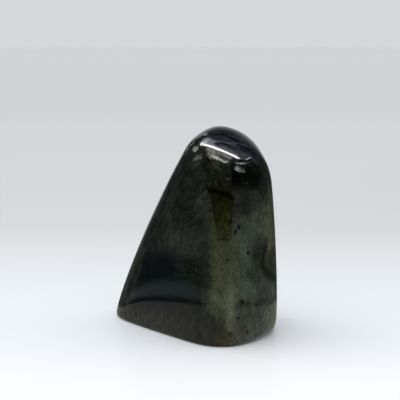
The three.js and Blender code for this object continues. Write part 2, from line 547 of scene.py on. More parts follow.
def soft_light(name, place, long_side, size, watts, mirrored, lights):
    """A rectangular light that faces the stone, with its long side along the given direction."""
    data = bpy.data.lights.new(name, "AREA")
    data.shape = "RECTANGLE"
    data.size, data.size_y = size
    data.energy = watts
    light = bpy.data.objects.new(name, data)
    backward = (Vector(place) - STONE_MIDDLE).normalized()
    sideways = Vector(long_side)
    sideways = (sideways - backward * sideways.dot(backward)).normalized()
    upward = backward.cross(sideways)
    light.matrix_world = Matrix((sideways, upward, backward)).transposed().to_4x4()
    light.location = place
    light.visible_glossy = mirrored
    light.visible_diffuse = lights
    bpy.context.scene.collection.objects.link(light)
    return light


OVERHEAD = (-0.16, 0.08, 0.72)
SHINE_RUN = Vector((-0.52, 0.35, -0.18)).normalized()
SHINE_SIZE = (1.02, 0.22)
SHINE_OFFSET = 0.11
SIDEWAYS = (1, 0, 0)
shine_place = Vector(OVERHEAD) - SHINE_OFFSET * SHINE_RUN
soft_light("overhead_shine", shine_place, SHINE_RUN, SHINE_SIZE, 11.5, mirrored=True, lights=False)
soft_light("overhead", OVERHEAD, SIDEWAYS, (0.6, 0.6), 1.5, mirrored=False, lights=True)
soft_light("front_fill", (0.1, -1.2, 0.7), SIDEWAYS, (1.2, 0.8), 4.0, mirrored=False, lights=True)

# %% [markdown]
# ### Floor
#
# The ground is pale and almost even: cool white close by, greyer around the stone and pale again
# far behind it. Lights alone would need much tuning to give that, so a ramp over the distance
# gives the tone, and a faint gloss lifts it towards the back.

# %% Floor
FLOOR_TONES = [(0.0, srgb(245, 247, 248)), (0.1, srgb(238, 242, 245)), (0.19, srgb(235, 239, 241)),
               (0.39, srgb(220, 219, 220)), (0.6, srgb(224, 224, 226)), (0.83, srgb(232, 232, 233)),
               (1.18, srgb(240, 239, 240)), (4.6, srgb(249, 248, 249))]
FLOOR_TONES_FROM = -0.1  # the tones start 0.1 m in front of the stone
FLOOR_TONES_RUN = 5.0
FLOOR_HALF = 6.0
FLOOR_ROUGHNESS = 0.25
FLOOR_GLOSS = 0.1


def flat_sheet(name, half, height):
    """A level square sheet that belongs to the stage and not to the part."""
    mesh = bpy.data.meshes.new(name)
    corners = [(x * half, y * half, height) for x, y in [(-1, -1), (1, -1), (1, 1), (-1, 1)]]
    mesh.from_pydata(corners, [], [(0, 1, 2, 3)])
    sheet = bpy.data.objects.new(name, mesh)
    bpy.context.scene.collection.objects.link(sheet)
    return sheet


floor = flat_sheet("floor", FLOOR_HALF, 0.0)
floor.visible_glossy = False
floor_finish = bpy.data.materials.new("pale_floor")
floor_finish.use_nodes = True
f = Wiring(floor_finish.node_tree)
distance = f.split(f.add("ShaderNodeTexCoord").outputs["Object"])[1]
gone = f.sum("DIVIDE", f.sum("SUBTRACT", distance, FLOOR_TONES_FROM), FLOOR_TONES_RUN)
shade = f.ramp(gone, [(place / FLOOR_TONES_RUN, tone) for place, tone in FLOOR_TONES])
floor_paint = floor_finish.node_tree.nodes["Principled BSDF"]
f.feed(floor_paint.inputs["Base Color"], shade)
floor_paint.inputs["Roughness"].default_value = FLOOR_ROUGHNESS
floor_paint.inputs["Specular IOR Level"].default_value = FLOOR_GLOSS
floor.data.materials.append(floor_finish)
print("floor reaches", FLOOR_HALF, "m each way, in", len(FLOOR_TONES), "tones")

# %% [markdown]
# ### Mirrored table
#
# The upright faces mirror the table at a shallow angle: a pale stretch close by, a darker line at
# its edge, a faint bluish glow just past it and a dim room beyond. The camera must go on seeing the
# plain floor, so a second sheet that only mirrors can see stands for that table.

# %% Mirrored table
TABLE_HALF_WIDTH = 0.084
TABLE_FRONT = 0.088
TABLE_BACK = 0.066
TABLE_SQUARENESS = 2.5  # 2 is an oval, more is squarer
TABLE_EDGE = (1.03, 1.0)  # 1 is the table's edge in this and the next two
GLOW_START = (1.12, 1.3)
GLOW_END = (2.05, 1.5)
GLOW_SIDES = (0.62, 0.5)
TABLE_DROP = 0.0001
TABLE_GLOW = (0.22, 0.22, 0.20, 1)
EDGE_GLOW = (0.15, 0.19, 0.205, 1)
FAR_GLOW = grey(0.62)

table = flat_sheet("mirrored_table", FLOOR_HALF, -TABLE_DROP)
table.visible_camera = False
table.visible_diffuse = False
table.visible_shadow = False
table.visible_transmission = False
table_finish = bpy.data.materials.new("mirrored_table")
table_finish.use_nodes = True
table_finish.node_tree.nodes.clear()
t = Wiring(table_finish.node_tree)
x, y, _ = t.split(t.add("ShaderNodeTexCoord").outputs["Object"])
wide = t.sum("DIVIDE", t.sum("ABSOLUTE", x), TABLE_HALF_WIDTH)
deep = t.sum("MAXIMUM", t.sum("DIVIDE", y, -TABLE_FRONT), t.sum("DIVIDE", y, TABLE_BACK))
wide = t.sum("POWER", wide, TABLE_SQUARENESS)
deep = t.sum("POWER", deep, TABLE_SQUARENESS)
reach = t.sum("POWER", t.sum("ADD", wide, deep), 1 / TABLE_SQUARENESS)
on_table = t.step(reach, *TABLE_EDGE)
radius = t.sum("SQRT", t.sum("ADD", t.sum("MULTIPLY", x, x), t.sum("MULTIPLY", y, y)))
backward = t.sum("DIVIDE", y, radius)
behind_stone = t.step(backward, *BACKDROP_EDGE)
in_glow = t.overlap(t.step(reach, *GLOW_START), t.step(reach, *GLOW_END),
                    t.step(backward, *GLOW_SIDES))
glow = t.mix(in_glow, ROOM, EDGE_GLOW)
glow = t.mix(behind_stone, glow, FAR_GLOW)
glow = t.mix(on_table, glow, TABLE_GLOW)
shine = t.add("ShaderNodeEmission", {"Color": glow, "Strength": 1.0})
t.add("ShaderNodeOutputMaterial", {"Surface": shine.outputs[0]})
table.data.materials.append(table_finish)
print("mirrored table has", len(table_finish.node_tree.nodes), "nodes")

# %% [markdown]
# ## Effects for the mineral
#
# Feldspar of this kind is cloudy: zones of different colour meet along soft or sharp borders,
# cracks and fine lamellae run through it, and dark grains are scattered in it. Each of these is
# used many times, so each is a node group with its own inputs. They all read a position in
# millimetres, so the pattern runs through the whole stone and meets itself at every edge, which an
# image wrapped around it would not. No border in a mineral is ruled, so most effects first push
# their position about with the group `clouds`.
#
# The noise is alone in that group, which puts out a vector, and every mask is a plain number. With
# colours turned into vectors or numbers all over a material this big, too many masks have to wait
# for their turn and the whole stone renders black.

# %% Clouds
def cloud_group():
    """Coloured clouds of one size, read as a direction."""
    tree = bpy.data.node_groups.new("clouds", "ShaderNodeTree")
    face = tree.interface
    face.new_socket("Position", in_out="INPUT", socket_type="NodeSocketVector")
    face.new_socket("Size", in_out="INPUT", socket_type="NodeSocketFloat").default_value = 3.0
    face.new_socket("Direction", in_out="OUTPUT", socket_type="NodeSocketVector")
    inside = Wiring(tree)
    given = inside.add("NodeGroupInput").outputs
    inputs = {"Vector": given["Position"], "Scale": inside.sum("DIVIDE", 1.0, given["Size"]),
              "Detail": 3.0}
    clouds = inside.add("ShaderNodeTexNoise", inputs)
    inside.feed(inside.add("NodeGroupOutput").inputs[0], clouds.outputs["Color"])
    return tree


CLOUDS = cloud_group()
GREY = (0.5, 0.5, 0.5)


def drifted(inside, position, wander, grain):
    """The position pushed about by up to this far, by clouds of this grain."""
    clouds = inside.use(CLOUDS, Position=position, Size=grain)
    push = inside.vector("SUBTRACT", clouds, GREY)
    return inside.vector("ADD", position, inside.scaled(push, inside.sum("MULTIPLY", wander, 2.0)))


print("clouds has", len(CLOUDS.nodes), "nodes")

# %% [markdown]
# ### A helper for effects
#
# Every effect has inputs with names and one mask, so the group, its sockets and its first nodes
# are always made in the same way.

# %% Effect helper
ORIGIN = (0.0, 0.0, 0.0)


def effect(name, inputs):
    """A node group with these inputs and one mask, its wiring, its inputs and its output."""
    tree = bpy.data.node_groups.new(name, "ShaderNodeTree")
    for label, value in inputs.items():
        kind = "NodeSocketVector" if isinstance(value, tuple) else "NodeSocketFloat"
        tree.interface.new_socket(label, in_out="INPUT", socket_type=kind).default_value = value
    tree.interface.new_socket("Mask", in_out="OUTPUT", socket_type="NodeSocketFloat")
    inside = Wiring(tree)
    given = inside.add("NodeGroupInput").outputs
    print(name, "takes", len(inputs), "inputs")
    return tree, inside, given, inside.add("NodeGroupOutput").inputs[0]


print("a new effect's position starts at", ORIGIN)

# %% [markdown]
# ### Zone
#
# An egg-shaped region, for stains, patches and growth zones. The distance from its centre is
# divided by its radii, so 1 is the border, and a smooth step there makes it soft or sharp.

# %% Zone
ZONE, g, given, mask_out = effect("zone", {
    "Position": ORIGIN, "Centre": ORIGIN, "Radii": (1.0, 1.0, 1.0),
    "Softness": 0.2, "Wander": 0.5, "Grain": 3.0})
moved = drifted(g, given["Position"], given["Wander"], given["Grain"])
away = g.vector("DIVIDE", g.vector("SUBTRACT", moved, given["Centre"]), given["Radii"])
outer = g.sum("ADD", 1.0, given["Softness"])
inner = g.sum("SUBTRACT", 1.0, given["Softness"])
g.feed(mask_out, g.step(g.vector("LENGTH", away, output=1), outer, inner))

# %% [markdown]
# ### Pillar
#
# An upright band between two slanting sides, for the growth zones that cross the front. An egg
# can't do these, because their sides are straight and their ends aren't.

# %% Pillar
PILLAR, g, given, mask_out = effect("pillar", {
    "Position": ORIGIN, "Left Low": -1.0, "Left High": -1.0, "Right Low": 1.0, "Right High": 1.0,
    "Bottom": 0.0, "Top": 1.0, "Side Softness": 0.5, "End Softness": 1.0,
    "Wander": 0.5, "Grain": 3.0})
side, _, level = g.split(drifted(g, given["Position"], given["Wander"], given["Grain"]))
low, high = given["Bottom"], given["Top"]
climb = g.sum("DIVIDE", g.sum("SUBTRACT", level, low), g.sum("SUBTRACT", high, low))
left = g.between(climb, given["Left Low"], given["Left High"])
right = g.between(climb, given["Right Low"], given["Right High"])
edges = []
for value, rise, fall, soft in [(side, left, right, given["Side Softness"]),
                                (level, low, high, given["End Softness"])]:
    edges.append(g.step(value, g.sum("SUBTRACT", rise, soft), g.sum("ADD", rise, soft)))
    edges.append(g.step(value, g.sum("ADD", fall, soft), g.sum("SUBTRACT", fall, soft)))
g.feed(mask_out, g.overlap(*edges))

# %% [markdown]
# ### Seam
#
# A crack or vein from one point to another: the distance to the line between them, with round
# ends, so that seams which share a point join without a gap.

# %% Seam
SEAM, g, given, mask_out = effect("seam", {
    "Position": ORIGIN, "Start": ORIGIN, "End": ORIGIN, "Half Width": 0.3, "Softness": 0.5,
    "Wander": 0.4, "Grain": 1.5})
moved = drifted(g, given["Position"], given["Wander"], given["Grain"])
from_start = g.vector("SUBTRACT", moved, given["Start"])
whole = g.vector("SUBTRACT", given["End"], given["Start"])
gone = g.sum("DIVIDE", g.vector("DOT_PRODUCT", from_start, whole, output=1),
             g.vector("DOT_PRODUCT", whole, whole, output=1))
gone = g.add("ShaderNodeClamp", {"Value": gone}).outputs[0]
off = g.vector("LENGTH", g.vector("SUBTRACT", from_start, g.scaled(whole, gone)), output=1)
thick = g.sum("DIVIDE", off, given["Half Width"])
outer = g.sum("ADD", 1.0, given["Softness"])
inner = g.sum("SUBTRACT", 1.0, given["Softness"])
g.feed(mask_out, g.step(thick, outer, inner))

# %% [markdown]
# ### Streaks
#
# Fine lines along one direction, for lamellae and the grain of the stone. Noise is drawn out
# along that direction, and what is above a level shows.

# %% Streaks
STREAKS, g, given, mask_out = effect("streaks", {
    "Position": ORIGIN, "Along": (1.0, 0.0, 0.0), "Long": 8.0, "Thin": 1.0,
    "Low": 0.45, "High": 0.6})
position, along = given["Position"], given["Along"]
distance = g.vector("DOT_PRODUCT", position, along, output=1)
thin = g.sum("DIVIDE", 1.0, given["Thin"])
excess = g.sum("SUBTRACT", g.sum("DIVIDE", 1.0, given["Long"]), thin)
drawn_out = g.scaled(along, g.sum("MULTIPLY", distance, excess))
fibres = g.noise(g.vector("ADD", g.scaled(position, thin), drawn_out), 1.0)
g.feed(mask_out, g.step(fibres, given["Low"], given["High"]))

# %% [markdown]
# ### Grains
#
# Scattered small grains of another mineral. A Voronoi texture puts one in each cell, and its
# random colour decides which cells keep theirs.

# %% Grains
GRAIN_EDGE = (1.2, 0.5)
GRAINS, g, given, mask_out = effect("grains", {
    "Position": ORIGIN, "Cell": 3.0, "Radius": 0.3, "Share": 0.3})
scale = g.sum("DIVIDE", 1.0, given["Cell"])
cells = g.add("ShaderNodeTexVoronoi", {"Vector": given["Position"], "Scale": scale}).outputs
reach = g.sum("MULTIPLY", cells["Distance"], given["Cell"])
dot = g.step(g.sum("DIVIDE", reach, given["Radius"]), *GRAIN_EDGE)
lot = g.add("ShaderNodeSeparateColor", {0: cells["Color"]}).outputs[0]
g.feed(mask_out, g.sum("MULTIPLY", dot, g.sum("LESS_THAN", lot, given["Share"])))

# %% [markdown]
# ## The colours of the stone
#
# In daylight this feldspar is nearly black, with green and grey where it is cloudy, olive where
# iron has stained a growth zone, and a dull blue where thin lamellae inside it scatter light.
# The tints were set from average tones measured in small patches of a photo of the stone, then
# corrected by comparing renders with it at the same places. Those that make whole zones are named
# here for what they show, painted sheen and reflection among them, and the tints of single marks
# stand beside their marks.

# %% Palette
DEEP = srgb(14, 16, 12)
BODY = srgb(28, 30, 25)
PALE_BODY = srgb(46, 49, 42)
WARM_EDGE_REFLECTION = srgb(70, 74, 59)
BRIGHT_OLIVE = srgb(27, 28, 2)
LEAF_GREEN = srgb(16, 25, 13)
BLUE_BLACK = srgb(3, 6, 7)
PAINTED_BLUE_SHEEN = srgb(8, 13, 18)
SMOKE = srgb(24, 26, 20)
SOOT = srgb(4, 5, 3)
BROWN = srgb(44, 38, 22)
RUST = srgb(28, 22, 8)
FRESH_BREAK = srgb(135, 138, 130)
print("palette runs from", [round(v, 4) for v in SOOT[:3]], "to",
      [round(v, 2) for v in FRESH_BREAK[:3]])

# %% [markdown]
# ## The stone's material
#
# The stone is one piece of mineral, so one material holds the whole pattern. Its growth layers
# dip a little towards the back, so heights are measured along them: level with the table at the
# front ridge and rising behind it. Colours are laid over each other from the broad zones to the
# finest marks.

# %% Stone material
LAYER_DIP = 0.15
RIDGE_Y = -36.0
REFRACTION = 1.56

stone_finish = bpy.data.materials.new("polished_feldspar")
stone_finish.use_nodes = True
m = Wiring(stone_finish.node_tree)
polish = stone_finish.node_tree.nodes["Principled BSDF"]
polish.inputs["IOR"].default_value = REFRACTION
stone.data.materials.append(stone_finish)

in_mm = m.scaled(m.add("ShaderNodeTexCoord").outputs["Object"], 1 / MM)
x_mm, y_mm, z_mm = m.split(in_mm)
layer_z = m.sum("ADD", z_mm, m.sum("MULTIPLY", m.sum("SUBTRACT", y_mm, RIDGE_Y), LAYER_DIP))
place = m.add("ShaderNodeCombineXYZ", {0: x_mm, 1: y_mm, 2: layer_z}).outputs[0]
front = m.step(y_mm, -12.0, -20.0)  # 1 near the ridge, 0 behind it


def count(step):
    """Prints how far the material has come."""
    print(step + ":", len(stone_finish.node_tree.nodes), "nodes in the material so far")


count("coordinates")

# %% [markdown]
# ### Marks
#
# These place the groups in the material. Cycles merges nodes that say exactly the same, so all
# marks share a few drifts, wanders of 0.25, 0.5, 1 or 2 mm on clouds of 1.5, 3 or 6 mm, and the
# material stays small.

# %% Marks
def zone(centre, radii, softness=0.3, wander=0.5, grain=3.0):
    """An egg-shaped mark. All marks are placed in millimetres, with heights along the layers."""
    return m.use(ZONE, Position=place, Centre=centre, Radii=radii, Softness=softness,
                 Wander=wander, Grain=grain)


def pillar(left, right, bottom, top, side=0.5, end=1.0, wander=0.5, grain=3.0, position=place):
    """An upright mark. Its sides are each given by where they are at the bottom and the top."""
    sockets = {"Left Low": left[0], "Left High": left[1], "Right Low": right[0],
               "Right High": right[1], "Side Softness": side, "End Softness": end}
    return m.use(PILLAR, Position=position, Bottom=bottom, Top=top, Wander=wander, Grain=grain,
                 **sockets)


def seam(start, end, half_width=0.3, softness=0.9, wander=0.5):
    """A line mark."""
    return m.use(SEAM, Position=place, Start=start, End=end, Softness=softness, Wander=wander,
                 Grain=1.5, **{"Half Width": half_width})


def streaks(along, long, thin, low=0.45, high=0.6):
    """Fine lines that are this long and thin, shown where the noise rises from low to high."""
    return m.use(STREAKS, Position=place, Along=along, Long=long, Thin=thin, Low=low, High=high)


def grains(cell, radius, share):
    """Dots of this radius in a share of the cells."""
    return m.use(GRAINS, Position=place, Cell=cell, Radius=radius, Share=share)


count("mark helpers")

# %% [markdown]
# ### Laying one colour over another
#
# `paint` lays a tint over a base where all of its masks are, and the material is a list of such
# coats. One mix node per coat keeps it easy to follow, and any coat can be changed alone.
# `mottled` and `specks` keep a coat from being flat.

# %% Coats
def paint(base, tint, *masks, share=None):
    """The base with this share of the tint over it, where all of the masks are."""
    if share is not None:
        masks += (share,)
    return m.mix(m.overlap(*masks), base, tint)


def paint_zones(base, rows, *masks):
    """Coats with centre, radii, softness, wander, share and tint."""
    for centre, radii, softness, wander, share, tint in rows:
        base = paint(base, srgb(*tint), zone(centre, radii, softness, wander), *masks, share=share)
    return base


def paint_line(base, tint, points, half_width, softness, wander, *masks, share=None):
    """Seams of one tint through a row of points."""
    for start, end in zip(points, points[1:]):
        stretch = seam(start, end, half_width, softness, wander)
        base = paint(base, tint, stretch, *masks, share=share)
    return base


def mottled(size, dark, pale, detail=3.0):
    """A tint that varies between two in clouds of this size."""
    return m.mix(m.noise(place, size, detail=detail), dark, pale)


def specks(size, detail, low, high):
    """Irregular specks of about this size."""
    return m.step(m.noise(place, size, detail=detail), low, high)


def tall_clouds(squeeze, size, detail=7.0, roughness=0.65):
    """Wandering clouds that are drawn out upwards, because their height is squeezed."""
    squeezed = m.stretch(nudged_wide, (1.0, 1.0, squeeze))
    return m.noise(squeezed, size, detail=detail, roughness=roughness)


nudged_wide = drifted(m, place, wander=1.0, grain=6.0)
count("coat helpers")

# %% [markdown]
# ## The dark body
#
# Most of the stone is dark and mottled, with a faint grain that climbs to the right. Clouds alone
# would look like smoke and streaks alone like wood, so the two are added.

# %% Mottled body
GRAIN_DIRECTION = (0.62, -0.68, 0.38)
CLOUD_SHARE = 0.84
clouds = m.noise(place, 5.5, detail=9.0, roughness=0.7, distortion=0.15)
fabric = streaks(GRAIN_DIRECTION, 9.0, 0.9, 0.3, 0.7)
shade = m.sum("ADD", m.sum("MULTIPLY", clouds, CLOUD_SHARE),
              m.sum("MULTIPLY", fabric, 1 - CLOUD_SHARE))
colour = m.ramp(shade, [(0.34, DEEP), (0.5, BODY), (0.68, PALE_BODY)])
count("mottled body")

# %% [markdown]
# A pale haze lies across the middle of the left face, with darker patches around it. Wide zones
# with very soft borders give both.

# %% Haze
haze_clouds = m.step(m.noise(place, 2.6, detail=7.0, roughness=0.65), 0.3, 0.7, 0.25, 0.8)
haze = zone((-5, -22, 42.5), (15, 16, 5), 0.8, 2.0, 6.0)
colour = paint(colour, srgb(46, 51, 44), haze, haze_clouds)
for centre, radii, share in [
    ((-3, -26, 54), (8, 12, 9), 0.5),
    ((-14, -8, 45), (5, 8, 6), 0.4),
    ((-3.5, -21, 68), (4, 9, 6), 0.5),
]:
    colour = paint(colour, DEEP, zone(centre, radii, 0.8, 2.0, 6.0), share=share)
ridge_haze = zone((2.6, -31, 58.5), (3.4, 6, 5), 0.8, 1.0, 6.0)
colour = paint(colour, srgb(46, 50, 42), ridge_haze, haze_clouds, share=0.8)
count("haze")

# %% [markdown]
# ## The blue zone
#
# Low on the left face the stone is blue-black, and its dull blue is painted sheen, a fixed tint
# for the schiller of its lamellae. Its right border is a straight, sharp growth line, so it is a
# pillar. Its upper border is feathery, drawn out along upright lamellae: the pillar reads a
# position that upright streaks have pushed up and down.

# %% Blue zone
FEATHER_LENGTH = 5.0
BORDER_SLANT = 0.2
feather = m.sum("SUBTRACT", streaks((0.1, 0, 0.99), 9.0, 0.8, 0.2, 0.8), 0.5)
feather = m.sum("ADD", m.sum("MULTIPLY", feather, FEATHER_LENGTH),
                m.sum("MULTIPLY", x_mm, BORDER_SLANT))
feathered = m.vector("ADD", place, m.add("ShaderNodeCombineXYZ", {2: feather}).outputs[0])
blue_zone = pillar((-37.5, -20.5), (3.0, 3.2), -30, 34.8, side=0.8, end=3.5, position=feathered)
# Painted sheen: the dull blue of the schiller, mottled over blue-black.
blue_sheen_tint = mottled(5.0, BLUE_BLACK, PAINTED_BLUE_SHEEN)
blue_streaks = streaks((0.05, -0.05, 1), 12.0, 0.5, 0.42, 0.62)
blue_sheen_tint = paint(blue_sheen_tint, srgb(11, 15, 17), blue_streaks, share=0.6)
green_end = mottled(2.0, srgb(5, 8, 4), srgb(17, 23, 13))
blue_sheen_tint = paint(blue_sheen_tint, green_end, m.step(x_mm, -10.0, 1.0, 0.0, 0.8))
colour = paint(colour, blue_sheen_tint, blue_zone, share=0.95)
count("blue zone")

# %% [markdown]
# Fine pale lamellae cross its upper right corner. They are streaks inside a zone that is darkened
# first, so that they stand out.

# %% Lamellae
lamella_zone = zone((-2.2, -27, 32.6), (7.4, 10, 5.0), 0.7, 1.0)
colour = paint(colour, srgb(8, 12, 9), lamella_zone, share=0.45)
lamellae = streaks((0.6, -0.77, -0.2), 10.0, 0.3, 0.44, 0.64)
colour = paint(colour, srgb(46, 53, 44), lamella_zone, lamellae, share=0.5)
count("lamellae")

# %% [markdown]
# Under the blue zone the left face is clouded warm grey down to the foot, and a pale strip follows
# its left edge. Plain steps on height and distance mark these, because their borders are hidden
# in clouds.

# %% Grey foot and left edge
EDGE_SLANT = 0.47
low_haze = m.overlap(m.step(layer_z, 16.0, 9.0), m.step(x_mm, 6.0, -20.0, 0.25, 1.0),
                   m.step(x_mm, 9.5, 7.0))
low_clouds = tall_clouds(0.75, 2.2)
low_tint = m.ramp(low_clouds, [
    (0.34, srgb(6, 7, 5)), (0.5, srgb(33, 33, 28)), (0.66, srgb(56, 55, 46))])
colour = paint(colour, low_tint, low_haze)
from_ridge = m.sum("ADD", y_mm, m.sum("MULTIPLY", layer_z, EDGE_SLANT))
left_edge = m.overlap(m.step(from_ridge, 21.5, 29.5), m.step(from_ridge, 45.0, 38.0),
                    m.step(x_mm, 4.0, -2.0))
left_tint = m.mix(low_clouds, srgb(38, 40, 33), srgb(76, 78, 68))
colour = paint(colour, left_tint, left_edge, share=0.9)
count("grey foot and left edge")

# %% [markdown]
# ## The cloudy right side
#
# To the right of the ridge the feldspar is milky grey-green. Its warm pale right edge, where the
# side rounds off, is painted reflection. The milk has a ragged slanting top, so noise is added to
# the height before the step is taken.

# %% Cloudy right side
RAGGED_BY = 14.0
TOP_SLANT = 0.8
wandering = m.sum("MULTIPLY", m.sum("SUBTRACT", m.noise(place, 6.0), 0.5), RAGGED_BY)
mist_top = m.sum("SUBTRACT", m.sum("ADD", layer_z, wandering), m.sum("MULTIPLY", x_mm, TOP_SLANT))
mist_top = m.step(mist_top, 42.0, 30.0)
mist_side = m.step(m.sum("ADD", x_mm, m.sum("MULTIPLY", wandering, 0.15)), 13.0, 16.5)
mist = m.overlap(mist_top, mist_side, m.step(y_mm, 14.0, -2.0))
mist_clouds = tall_clouds(0.6, 3.0)
mist_tint = m.ramp(mist_clouds, [
    (0.3, srgb(43, 48, 38)), (0.46, srgb(52, 58, 47)), (0.66, srgb(60, 67, 55))])
low_mist_tint = m.ramp(mist_clouds, [
    (0.32, srgb(32, 34, 28)), (0.5, srgb(45, 47, 40)), (0.66, srgb(58, 60, 50))])
mist_tint = paint(mist_tint, low_mist_tint, m.step(layer_z, 22.0, 16.0))
# Painted reflection: the warm pale right edge, where the side rounds off.
mist_tint = paint(mist_tint, WARM_EDGE_REFLECTION, m.step(x_mm, 26.5, 30.0), share=0.8)
colour = paint(colour, mist_tint, mist)
count("cloudy right side")

# %% [markdown]
# Smoke-like patches hang in the milk. They are soft zones of one tint, strong just below the rim
# and faint near the foot.

# %% Smoke
for centre, radii, share in [
    ((20.8, -34, 58.5), (2.2, 8, 8.0), 0.8),
    ((25.0, -30.5, 38.0), (2.6, 6, 5.0), 0.6),
    ((23.4, -33, 28.6), (2.6, 6, 3.0), 0.5),
    ((26.5, -28, 64.0), (5.0, 8, 3.5), 0.7),
    ((17.5, -34, 61.0), (3.0, 8, 3.0), 0.5),
    ((25.0, -31, 30.5), (3.2, 7, 5.0), 0.45),
    ((30.0, -25, 22.5), (3.6, 9, 5.5), 0.72),
    ((26.4, -29, 20.5), (2.6, 8, 4.0), 0.35),
]:
    colour = paint(colour, SMOKE, zone(centre, radii, 0.8, 2.0, 6.0), mist_side, share=share)
count("smoke")

# %% [markdown]
# A dark hook curls down near the right edge around a brown spot. The hook is a row of very soft
# seams whose points lie on the skin, because a seam deeper in the stone wouldn't show.

# %% Dark hook
HOOK = [(29.2, -26.0, 43.0), (28.5, -26.8, 39.5), (27.9, -27.6, 36.5), (27.5, -28.1, 33.8),
        (28.2, -27.2, 31.0), (29.6, -25.3, 29.0), (31.4, -22.0, 27.4), (33.2, -17.5, 26.2)]
colour = paint_zones(colour, [((31.5, -23, 31.0), (2.6, 7, 5.0), 0.6, 1.0, 0.8, (30, 33, 26))])
colour = paint_line(colour, srgb(13, 15, 10), HOOK, 1.5, 0.97, 1.0, share=0.72)
colour = paint_zones(colour, [
    ((26.2, -29, 38.5), (2.0, 5, 5.0), 0.9, 1.0, 0.6, (24, 27, 20)),
    ((30.4, -24.2, 34.8), (1.6, 5, 3.8), 0.6, 1.0, 0.9, (36, 39, 31)),
    ((32.0, -19.8, 37.8), (1.3, 6, 2.6), 0.6, 0.5, 0.9, (52, 41, 16)),
])
count("dark hook")

# %% [markdown]
# The paler right edge is painted reflection: its rounding mirrors a brighter part of the room. The
# brown veins and the one short crack on it are the stone's own.

# %% Right edge
# Painted reflection of a brighter part of the room on the right rounding.
right_edge_reflection = pillar((29.8, 29.8), (32.5, 31.8), 44.0, 66.0, end=3.0)
colour = paint(colour, mottled(1.4, srgb(50, 52, 40), srgb(72, 74, 60)), right_edge_reflection, share=0.7)
veins = m.overlap(m.step(x_mm, 28.4, 29.2), m.step(y_mm, 0.0, -14.0),
                streaks((0, 0, 1), 16.0, 0.5, 0.55, 0.63))
colour = paint(colour, srgb(34, 31, 17), veins, m.step(layer_z, 40.0, 48.0), share=0.55)
edge_crack = seam((29.2, -24.4, 61.0), (29.3, -25.1, 52.0), 0.28, 0.8, 0.25)
colour = paint(colour, srgb(24, 22, 10), edge_crack, share=0.8)
count("right edge")

# %% [markdown]
# ## The column down the ridge
#
# A pale sage growth zone runs down the ridge to the foot. Two darker strips on its left set it
# off, and low down a rounded lobe of the dark body cuts into it.

# %% Column
dim_strip = pillar((3.0, 3.4), (5.4, 8.0), 17, 37, end=2.5)
dim_tint = mottled(1.8, srgb(12, 15, 9), srgb(34, 38, 26))
colour = paint(colour, dim_tint, dim_strip, front, share=0.9)
upper_strip = pillar((4.0, 4.6), (10.0, 9.0), 38, 58, side=1.4, end=4.0, wander=1.0, grain=6.0)
upper_tint = mottled(2.0, srgb(26, 30, 21), srgb(42, 47, 36), detail=5.0)
colour = paint(colour, upper_tint, upper_strip, front, share=0.9)
lobe = pillar((0.0, 0.0), (8.7, 8.2), -10, 13.5, side=0.35, end=2.5, wander=1.0, grain=6.0)
column = pillar((5.4, 6.6), (16.5, 15.5), -10, 50, side=1.3, end=5.0, wander=2.0)
wide_foot = m.overlap(m.step(x_mm, 19.0, 16.0), m.step(layer_z, 28.0, 23.0))
right_side = m.sum("MAXIMUM", m.step(x_mm, 17.5, 13.0), wide_foot)
column = m.overlap(column, m.sum("SUBTRACT", 1.0, lobe), right_side)
count("column")

# %% [markdown]
# The sage is brownest at the foot and clearest in the middle, so its base is a ramp over height.
# Clouds, a bright right half and an olive core are laid over that.

# %% Sage
STONE_REACH = 60.0
sage = m.ramp(m.sum("DIVIDE", layer_z, STONE_REACH), [
    (0.02, srgb(33, 31, 17)), (0.13, srgb(30, 30, 16)), (0.2, srgb(42, 45, 31)),
    (0.28, srgb(58, 62, 46)), (0.48, srgb(58, 62, 45)), (0.56, srgb(53, 57, 40)),
    (0.75, srgb(48, 52, 35))])
sage_clouds = tall_clouds(0.5, 2.4)
sage = paint(sage, srgb(38, 41, 26), m.step(sage_clouds, 0.3, 0.55, 0.4, 0.0))
sage = paint(sage, srgb(76, 80, 62), m.step(sage_clouds, 0.55, 0.75, 0.0, 0.35))
bright_right = zone((15.4, -36.5, 14.5), (3.2, 8, 11.0), 0.5, 1.0)
sage = paint(sage, srgb(76, 80, 64), bright_right, m.step(sage_clouds, 0.3, 0.6, 0.5, 1.0),
             share=0.8)
core = pillar((9.4, 9.4), (14.0, 13.5), 20, 44, side=0.9, end=4.0, wander=1.0)
sage = paint(sage, srgb(51, 53, 27), core, m.noise(place, 2.0), share=0.9)
sage = paint(sage, srgb(40, 46, 33), m.step(x_mm, 9.8, 7.0), m.step(layer_z, 20.0, 26.0),
             share=0.75)
colour = paint(colour, sage, column, front)
LOBE_BORDER = [(2.2, -33.2, 19.4), (3.6, -34.6, 15.8), (6.0, -36.4, 13.3), (8.2, -37.3, 11.1),
               (8.6, -37.3, 7.9), (6.8, -36.4, 3.7)]
colour = paint_line(colour, srgb(14, 15, 9), LOBE_BORDER, 0.4, 0.9, 0.5, share=0.8)
count("sage")

# %% [markdown]
# An olive wedge is let into the upper part of the column. It is clear enough to look deep, so
# it gets its own ramp over height, two inner zones and three kinds of upright streaks.

